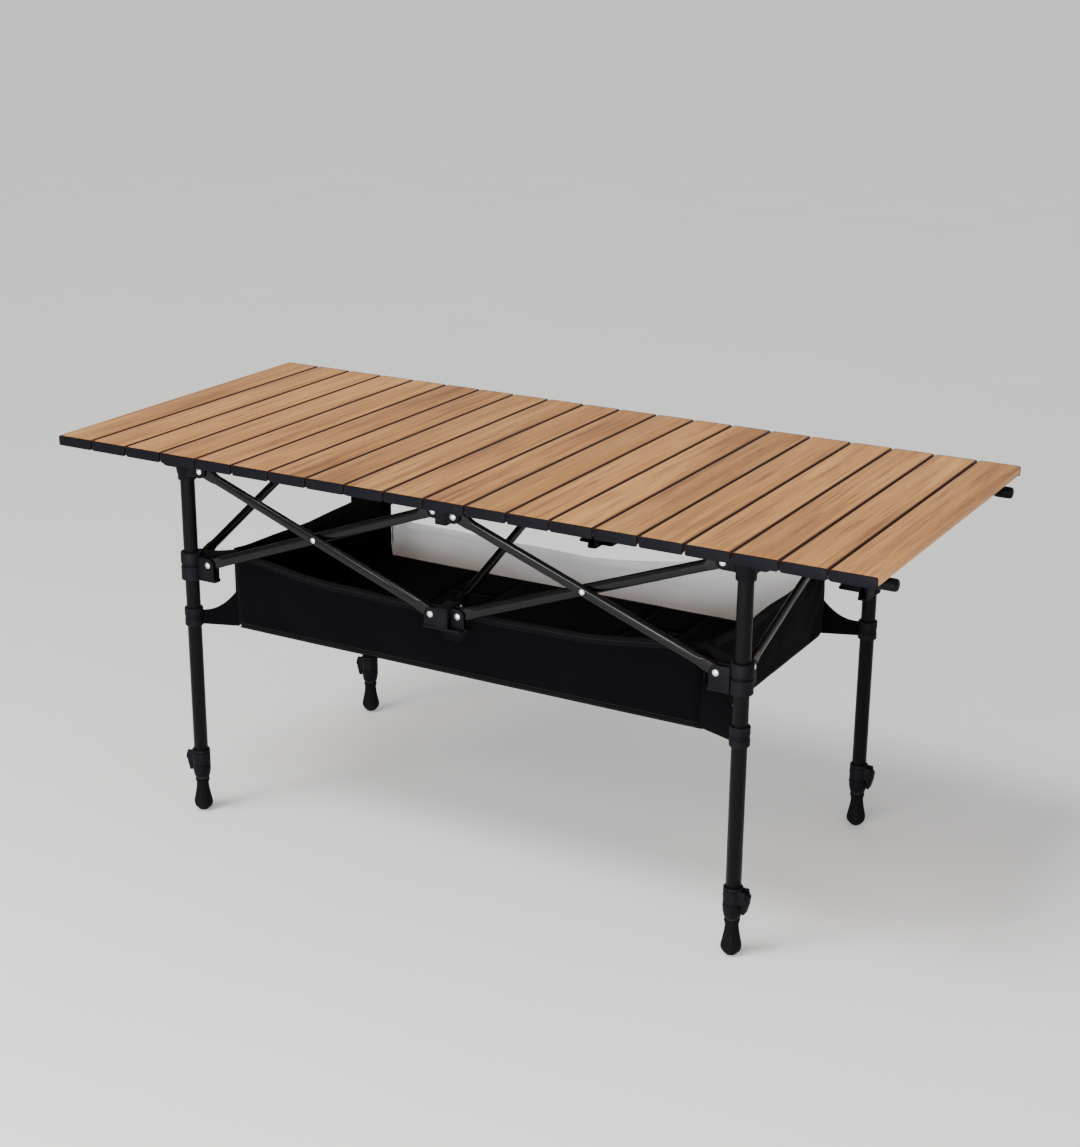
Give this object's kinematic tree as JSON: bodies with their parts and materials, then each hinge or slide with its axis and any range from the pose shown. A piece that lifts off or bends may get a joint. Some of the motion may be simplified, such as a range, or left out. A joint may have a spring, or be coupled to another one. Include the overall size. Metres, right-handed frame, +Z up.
{
  "type": "camp kitchen table",
  "caption": "Low camp kitchen table: roll-up wood-grain slat top on a pop-up scissor frame with telescoping legs and a hanging open storage bag.",
  "frame": {"origin": "on the ground under the middle of the open top", "axes": "+X along the table, -Y the front, +Z up"},
  "size_m": [1.21, 0.535, 0.545],
  "materials": {
    "wood_grain": "wood-grain planks with near-black end caps",
    "black_tube": "satin black coated tube",
    "black_moulding": "black moulded plastic",
    "black_foot": "black rubber foot on a black tube",
    "black_cloth": "black woven cloth"
  },
  "bodies": {
    "top_frame": {"upper_hub_front": "black_moulding", "slat_10": "wood_grain"},
    "arm_front_left_rising": {"arm_front_left_rising": "black_tube"},
    "arm_front_left_falling": {"arm_front_left_falling": "black_tube"},
    "leg_lf": {"leg_lf": "black_tube"},
    "lower_hub_front": {"lower_hub_front": "black_moulding", "storage_bag": "black_cloth"},
    "slider_lf": {"slider_lf": "black_moulding"},
    "arm_front_right_falling": {"arm_front_right_falling": "black_tube"},
    "arm_front_right_rising": {"arm_front_right_rising": "black_tube"},
    "leg_rf": {"leg_rf": "black_tube"},
    "slider_rf": {"slider_rf": "black_moulding"},
    "arm_middle_falling": {"arm_middle_falling": "black_tube"},
    "arm_middle_rising": {"arm_middle_rising": "black_tube"},
    "upper_hub_back": {"upper_hub_back": "black_moulding"},
    "lower_hub_back": {"lower_hub_back": "black_moulding"},
    "arm_back_right_rising": {"arm_back_right_rising": "black_tube"},
    "arm_back_right_falling": {"arm_back_right_falling": "black_tube"},
    "leg_rb": {"leg_rb": "black_tube"},
    "slider_rb": {"slider_rb": "black_moulding"},
    "arm_back_left_falling": {"arm_back_left_falling": "black_tube"},
    "arm_back_left_rising": {"arm_back_left_rising": "black_tube"},
    "leg_lb": {"leg_lb": "black_tube"},
    "slider_lb": {"slider_lb": "black_moulding"},
    "arm_right_side_falling": {"arm_right_side_falling": "black_tube"},
    "arm_right_side_rising": {"arm_right_side_rising": "black_tube"},
    "arm_left_side_rising": {"arm_left_side_rising": "black_tube"},
    "arm_left_side_falling": {"arm_left_side_falling": "black_tube"},
    "slat_11": {"slat_11": "wood_grain"},
    "slat_12": {"slat_12": "wood_grain"},
    "slat_13": {"slat_13": "wood_grain"},
    "slat_14": {"slat_14": "wood_grain"},
    "slat_15": {"slat_15": "wood_grain"},
    "slat_16": {"slat_16": "wood_grain"},
    "slat_17": {"slat_17": "wood_grain"},
    "slat_18": {"slat_18": "wood_grain"},
    "slat_19": {"slat_19": "wood_grain"},
    "slat_20": {"slat_20": "wood_grain"},
    "slat_09": {"slat_09": "wood_grain"},
    "slat_08": {"slat_08": "wood_grain"},
    "slat_07": {"slat_07": "wood_grain"},
    "slat_06": {"slat_06": "wood_grain"},
    "slat_05": {"slat_05": "wood_grain"},
    "slat_04": {"slat_04": "wood_grain"},
    "slat_03": {"slat_03": "wood_grain"},
    "slat_02": {"slat_02": "wood_grain"},
    "slat_01": {"slat_01": "wood_grain"},
    "inner_leg_lf": {"inner_leg_lf": "black_foot"},
    "foot_lever_lf": {"foot_lever_lf": "black_moulding"},
    "end_support_lf": {"end_support_lf": "black_tube"},
    "inner_leg_rf": {"inner_leg_rf": "black_foot"},
    "foot_lever_rf": {"foot_lever_rf": "black_moulding"},
    "end_support_rf": {"end_support_rf": "black_tube"},
    "inner_leg_rb": {"inner_leg_rb": "black_foot"},
    "foot_lever_rb": {"foot_lever_rb": "black_moulding"},
    "end_support_rb": {"end_support_rb": "black_tube"},
    "inner_leg_lb": {"inner_leg_lb": "black_foot"},
    "foot_lever_lb": {"foot_lever_lb": "black_moulding"},
    "end_support_lb": {"end_support_lb": "black_tube"}
  },
  "joints": [
    {"name": "frame_fold", "type": "hinge", "parent": "top_frame", "child": "arm_front_left_rising", "pos_m": [-0.018, -0.2105, 0.513], "axis": [0, -1, 0], "range_deg": [0, 60], "deforming": ["storage_bag"]},
    {"name": "front_left_crossing", "type": "hinge", "parent": "arm_front_left_rising", "child": "arm_front_left_falling", "pos_m": [-0.203, -0.215, 0.4445], "axis": [0, -1, 0], "range_deg": [-120, 0]},
    {"name": "leg_lf_rivet", "type": "hinge", "parent": "arm_front_left_falling", "child": "leg_lf", "pos_m": [-0.388, -0.2195, 0.513], "axis": [0, -1, 0], "range_deg": [0, 60]},
    {"name": "lower_hub_front_rivet", "type": "hinge", "parent": "arm_front_left_falling", "child": "lower_hub_front", "pos_m": [-0.018, -0.2195, 0.376], "axis": [0, -1, 0], "range_deg": [0, 60]},
    {"name": "slider_lf_rivet", "type": "hinge", "parent": "arm_front_left_rising", "child": "slider_lf", "pos_m": [-0.388, -0.2105, 0.376], "axis": [0, -1, 0], "range_deg": [-60, 0]},
    {"name": "front_right_swing", "type": "hinge", "parent": "top_frame", "child": "arm_front_right_falling", "pos_m": [0.018, -0.2195, 0.513], "axis": [0, -1, 0], "range_deg": [-60, 0]},
    {"name": "front_right_crossing", "type": "hinge", "parent": "arm_front_right_falling", "child": "arm_front_right_rising", "pos_m": [0.203, -0.215, 0.4445], "axis": [0, -1, 0], "range_deg": [0, 120]},
    {"name": "leg_rf_rivet", "type": "hinge", "parent": "arm_front_right_rising", "child": "leg_rf", "pos_m": [0.388, -0.2105, 0.513], "axis": [0, -1, 0], "range_deg": [-60, 0]},
    {"name": "slider_rf_rivet", "type": "hinge", "parent": "arm_front_right_falling", "child": "slider_rf", "pos_m": [0.388, -0.2195, 0.376], "axis": [0, -1, 0], "range_deg": [0, 60]},
    {"name": "middle_swing", "type": "hinge", "parent": "top_frame", "child": "arm_middle_falling", "pos_m": [0.0045, -0.185, 0.513], "axis": [1, 0, 0], "range_deg": [-60, 0]},
    {"name": "middle_crossing", "type": "hinge", "parent": "arm_middle_falling", "child": "arm_middle_rising", "pos_m": [0, 0, 0.4445], "axis": [1, 0, 0], "range_deg": [0, 120]},
    {"name": "upper_hub_back_rivet", "type": "hinge", "parent": "arm_middle_rising", "child": "upper_hub_back", "pos_m": [-0.0045, 0.185, 0.513], "axis": [1, 0, 0], "range_deg": [-60, 0]},
    {"name": "lower_hub_back_rivet", "type": "hinge", "parent": "arm_middle_falling", "child": "lower_hub_back", "pos_m": [0.0045, 0.185, 0.376], "axis": [1, 0, 0], "range_deg": [0, 60]},
    {"name": "back_right_swing", "type": "hinge", "parent": "upper_hub_back", "child": "arm_back_right_rising", "pos_m": [0.018, 0.2105, 0.513], "axis": [0, 1, 0], "range_deg": [0, 60]},
    {"name": "back_right_crossing", "type": "hinge", "parent": "arm_back_right_rising", "child": "arm_back_right_falling", "pos_m": [0.203, 0.215, 0.4445], "axis": [0, 1, 0], "range_deg": [-120, 0]},
    {"name": "leg_rb_rivet", "type": "hinge", "parent": "arm_back_right_falling", "child": "leg_rb", "pos_m": [0.388, 0.2195, 0.513], "axis": [0, 1, 0], "range_deg": [0, 60]},
    {"name": "slider_rb_rivet", "type": "hinge", "parent": "arm_back_right_rising", "child": "slider_rb", "pos_m": [0.388, 0.2105, 0.376], "axis": [0, 1, 0], "range_deg": [-60, 0]},
    {"name": "back_left_swing", "type": "hinge", "parent": "upper_hub_back", "child": "arm_back_left_falling", "pos_m": [-0.018, 0.2195, 0.513], "axis": [0, 1, 0], "range_deg": [-60, 0]},
    {"name": "back_left_crossing", "type": "hinge", "parent": "arm_back_left_falling", "child": "arm_back_left_rising", "pos_m": [-0.203, 0.215, 0.4445], "axis": [0, 1, 0], "range_deg": [0, 120]},
    {"name": "leg_lb_rivet", "type": "hinge", "parent": "arm_back_left_rising", "child": "leg_lb", "pos_m": [-0.388, 0.2105, 0.513], "axis": [0, 1, 0], "range_deg": [-60, 0]},
    {"name": "slider_lb_rivet", "type": "hinge", "parent": "arm_back_left_falling", "child": "slider_lb", "pos_m": [-0.388, 0.2195, 0.376], "axis": [0, 1, 0], "range_deg": [0, 60]},
    {"name": "right_side_swing", "type": "hinge", "parent": "leg_rf", "child": "arm_right_side_falling", "pos_m": [0.4225, -0.185, 0.513], "axis": [1, 0, 0], "range_deg": [-60, 0]},
    {"name": "right_side_crossing", "type": "hinge", "parent": "arm_right_side_falling", "child": "arm_right_side_rising", "pos_m": [0.418, 0, 0.4445], "axis": [1, 0, 0], "range_deg": [0, 120]},
    {"name": "left_side_swing", "type": "hinge", "parent": "leg_lf", "child": "arm_left_side_rising", "pos_m": [-0.4135, -0.185, 0.513], "axis": [-1, 0, 0], "range_deg": [0, 60]},
    {"name": "left_side_crossing", "type": "hinge", "parent": "arm_left_side_rising", "child": "arm_left_side_falling", "pos_m": [-0.418, 0, 0.4445], "axis": [-1, 0, 0], "range_deg": [-120, 0]},
    {"name": "top_roll", "type": "hinge", "parent": "top_frame", "child": "slat_11", "pos_m": [0, 0, 0.545], "axis": [0, -1, 0], "range_deg": [0, 28]},
    {"name": "slat_12_hinge", "type": "hinge", "parent": "slat_11", "child": "slat_12", "pos_m": [0.06, 0, 0.545], "axis": [0, -1, 0], "range_deg": [0, 28]},
    {"name": "slat_13_hinge", "type": "hinge", "parent": "slat_12", "child": "slat_13", "pos_m": [0.12, 0, 0.545], "axis": [0, -1, 0], "range_deg": [0, 28]},
    {"name": "slat_14_hinge", "type": "hinge", "parent": "slat_13", "child": "slat_14", "pos_m": [0.18, 0, 0.545], "axis": [0, -1, 0], "range_deg": [0, 28]},
    {"name": "slat_15_hinge", "type": "hinge", "parent": "slat_14", "child": "slat_15", "pos_m": [0.24, 0, 0.545], "axis": [0, -1, 0], "range_deg": [0, 28]},
    {"name": "slat_16_hinge", "type": "hinge", "parent": "slat_15", "child": "slat_16", "pos_m": [0.3, 0, 0.545], "axis": [0, -1, 0], "range_deg": [0, 28]},
    {"name": "slat_17_hinge", "type": "hinge", "parent": "slat_16", "child": "slat_17", "pos_m": [0.36, 0, 0.545], "axis": [0, -1, 0], "range_deg": [0, 28]},
    {"name": "slat_18_hinge", "type": "hinge", "parent": "slat_17", "child": "slat_18", "pos_m": [0.42, 0, 0.545], "axis": [0, -1, 0], "range_deg": [0, 28]},
    {"name": "slat_19_hinge", "type": "hinge", "parent": "slat_18", "child": "slat_19", "pos_m": [0.48, 0, 0.545], "axis": [0, -1, 0], "range_deg": [0, 28]},
    {"name": "slat_20_hinge", "type": "hinge", "parent": "slat_19", "child": "slat_20", "pos_m": [0.54, 0, 0.545], "axis": [0, -1, 0], "range_deg": [0, 28]},
    {"name": "slat_09_hinge", "type": "hinge", "parent": "top_frame", "child": "slat_09", "pos_m": [-0.06, 0, 0.545], "axis": [0, 1, 0], "range_deg": [0, 40.2]},
    {"name": "slat_08_hinge", "type": "hinge", "parent": "slat_09", "child": "slat_08", "pos_m": [-0.12, 0, 0.545], "axis": [0, 1, 0], "range_deg": [0, 42.6]},
    {"name": "slat_07_hinge", "type": "hinge", "parent": "slat_08", "child": "slat_07", "pos_m": [-0.18, 0, 0.545], "axis": [0, 1, 0], "range_deg": [0, 45.1]},
    {"name": "slat_06_hinge", "type": "hinge", "parent": "slat_07", "child": "slat_06", "pos_m": [-0.24, 0, 0.545], "axis": [0, 1, 0], "range_deg": [0, 47.7]},
    {"name": "slat_05_hinge", "type": "hinge", "parent": "slat_06", "child": "slat_05", "pos_m": [-0.3, 0, 0.545], "axis": [0, 1, 0], "range_deg": [0, 50.7]},
    {"name": "slat_04_hinge", "type": "hinge", "parent": "slat_05", "child": "slat_04", "pos_m": [-0.36, 0, 0.545], "axis": [0, 1, 0], "range_deg": [0, 53.6]},
    {"name": "slat_03_hinge", "type": "hinge", "parent": "slat_04", "child": "slat_03", "pos_m": [-0.42, 0, 0.545], "axis": [0, 1, 0], "range_deg": [0, 56.8]},
    {"name": "slat_02_hinge", "type": "hinge", "parent": "slat_03", "child": "slat_02", "pos_m": [-0.48, 0, 0.545], "axis": [0, 1, 0], "range_deg": [0, 60.2]},
    {"name": "slat_01_hinge", "type": "hinge", "parent": "slat_02", "child": "slat_01", "pos_m": [-0.54, 0, 0.545], "axis": [0, 1, 0], "range_deg": [0, 64]},
    {"name": "inner_leg_lf_slide", "type": "slide", "parent": "leg_lf", "child": "inner_leg_lf", "axis": [0, 0, -1], "range_m": [0, 0.12]},
    {"name": "foot_lever_lf_hinge", "type": "hinge", "parent": "leg_lf", "child": "foot_lever_lf", "pos_m": [-0.435, -0.215, 0.082], "axis": [0, 1, 0], "range_deg": [0, 110]},
    {"name": "end_support_lf_hinge", "type": "hinge", "parent": "leg_lf", "child": "end_support_lf", "pos_m": [-0.445, -0.215, 0.5215], "axis": [0, -1, 0], "range_deg": [0, 90]},
    {"name": "inner_leg_rf_slide", "type": "slide", "parent": "leg_rf", "child": "inner_leg_rf", "axis": [0, 0, -1], "range_m": [0, 0.12]},
    {"name": "foot_lever_rf_hinge", "type": "hinge", "parent": "leg_rf", "child": "foot_lever_rf", "pos_m": [0.435, -0.215, 0.082], "axis": [0, -1, 0], "range_deg": [0, 110]},
    {"name": "end_support_rf_hinge", "type": "hinge", "parent": "leg_rf", "child": "end_support_rf", "pos_m": [0.445, -0.215, 0.5215], "axis": [0, 1, 0], "range_deg": [0, 90]},
    {"name": "inner_leg_rb_slide", "type": "slide", "parent": "leg_rb", "child": "inner_leg_rb", "axis": [0, 0, -1], "range_m": [0, 0.12]},
    {"name": "foot_lever_rb_hinge", "type": "hinge", "parent": "leg_rb", "child": "foot_lever_rb", "pos_m": [0.435, 0.215, 0.082], "axis": [0, -1, 0], "range_deg": [0, 110]},
    {"name": "end_support_rb_hinge", "type": "hinge", "parent": "leg_rb", "child": "end_support_rb", "pos_m": [0.445, 0.215, 0.5215], "axis": [0, 1, 0], "range_deg": [0, 90]},
    {"name": "inner_leg_lb_slide", "type": "slide", "parent": "leg_lb", "child": "inner_leg_lb", "axis": [0, 0, -1], "range_m": [0, 0.12]},
    {"name": "foot_lever_lb_hinge", "type": "hinge", "parent": "leg_lb", "child": "foot_lever_lb", "pos_m": [-0.435, 0.215, 0.082], "axis": [0, 1, 0], "range_deg": [0, 110]},
    {"name": "end_support_lb_hinge", "type": "hinge", "parent": "leg_lb", "child": "end_support_lb", "pos_m": [-0.445, 0.215, 0.5215], "axis": [0, -1, 0], "range_deg": [0, 90]}
  ],
  "couplings": [
    {"joint": "front_left_crossing", "follows": "frame_fold", "ratio": -2},
    {"joint": "leg_lf_rivet", "follows": "frame_fold", "ratio": 1},
    {"joint": "lower_hub_front_rivet", "follows": "frame_fold", "ratio": 1},
    {"joint": "slider_lf_rivet", "follows": "frame_fold", "ratio": -1},
    {"joint": "front_right_swing", "follows": "frame_fold", "ratio": -1},
    {"joint": "front_right_crossing", "follows": "frame_fold", "ratio": 2},
    {"joint": "leg_rf_rivet", "follows": "frame_fold", "ratio": -1},
    {"joint": "slider_rf_rivet", "follows": "frame_fold", "ratio": 1},
    {"joint": "middle_swing", "follows": "frame_fold", "ratio": -1},
    {"joint": "middle_crossing", "follows": "frame_fold", "ratio": 2},
    {"joint": "upper_hub_back_rivet", "follows": "frame_fold", "ratio": -1},
    {"joint": "lower_hub_back_rivet", "follows": "frame_fold", "ratio": 1},
    {"joint": "back_right_swing", "follows": "frame_fold", "ratio": 1},
    {"joint": "back_right_crossing", "follows": "frame_fold", "ratio": -2},
    {"joint": "leg_rb_rivet", "follows": "frame_fold", "ratio": 1},
    {"joint": "slider_rb_rivet", "follows": "frame_fold", "ratio": -1},
    {"joint": "back_left_swing", "follows": "frame_fold", "ratio": -1},
    {"joint": "back_left_crossing", "follows": "frame_fold", "ratio": 2},
    {"joint": "leg_lb_rivet", "follows": "frame_fold", "ratio": -1},
    {"joint": "slider_lb_rivet", "follows": "frame_fold", "ratio": 1},
    {"joint": "right_side_swing", "follows": "frame_fold", "ratio": -1},
    {"joint": "right_side_crossing", "follows": "frame_fold", "ratio": 2},
    {"joint": "left_side_swing", "follows": "frame_fold", "ratio": 1},
    {"joint": "left_side_crossing", "follows": "frame_fold", "ratio": -2},
    {"joint": "slat_12_hinge", "follows": "top_roll", "ratio": 1},
    {"joint": "slat_13_hinge", "follows": "top_roll", "ratio": 1},
    {"joint": "slat_14_hinge", "follows": "top_roll", "ratio": 1},
    {"joint": "slat_15_hinge", "follows": "top_roll", "ratio": 1},
    {"joint": "slat_16_hinge", "follows": "top_roll", "ratio": 1},
    {"joint": "slat_17_hinge", "follows": "top_roll", "ratio": 1},
    {"joint": "slat_18_hinge", "follows": "top_roll", "ratio": 1},
    {"joint": "slat_19_hinge", "follows": "top_roll", "ratio": 1},
    {"joint": "slat_20_hinge", "follows": "top_roll", "ratio": 1},
    {"joint": "slat_09_hinge", "follows": "top_roll", "ratio": 1.4286},
    {"joint": "slat_08_hinge", "follows": "top_roll", "ratio": 1.5143},
    {"joint": "slat_07_hinge", "follows": "top_roll", "ratio": 1.6036},
    {"joint": "slat_06_hinge", "follows": "top_roll", "ratio": 1.7},
    {"joint": "slat_05_hinge", "follows": "top_roll", "ratio": 1.8036},
    {"joint": "slat_04_hinge", "follows": "top_roll", "ratio": 1.9107},
    {"joint": "slat_03_hinge", "follows": "top_roll", "ratio": 2.025},
    {"joint": "slat_02_hinge", "follows": "top_roll", "ratio": 2.1464},
    {"joint": "slat_01_hinge", "follows": "top_roll", "ratio": 2.2786}
  ]
}
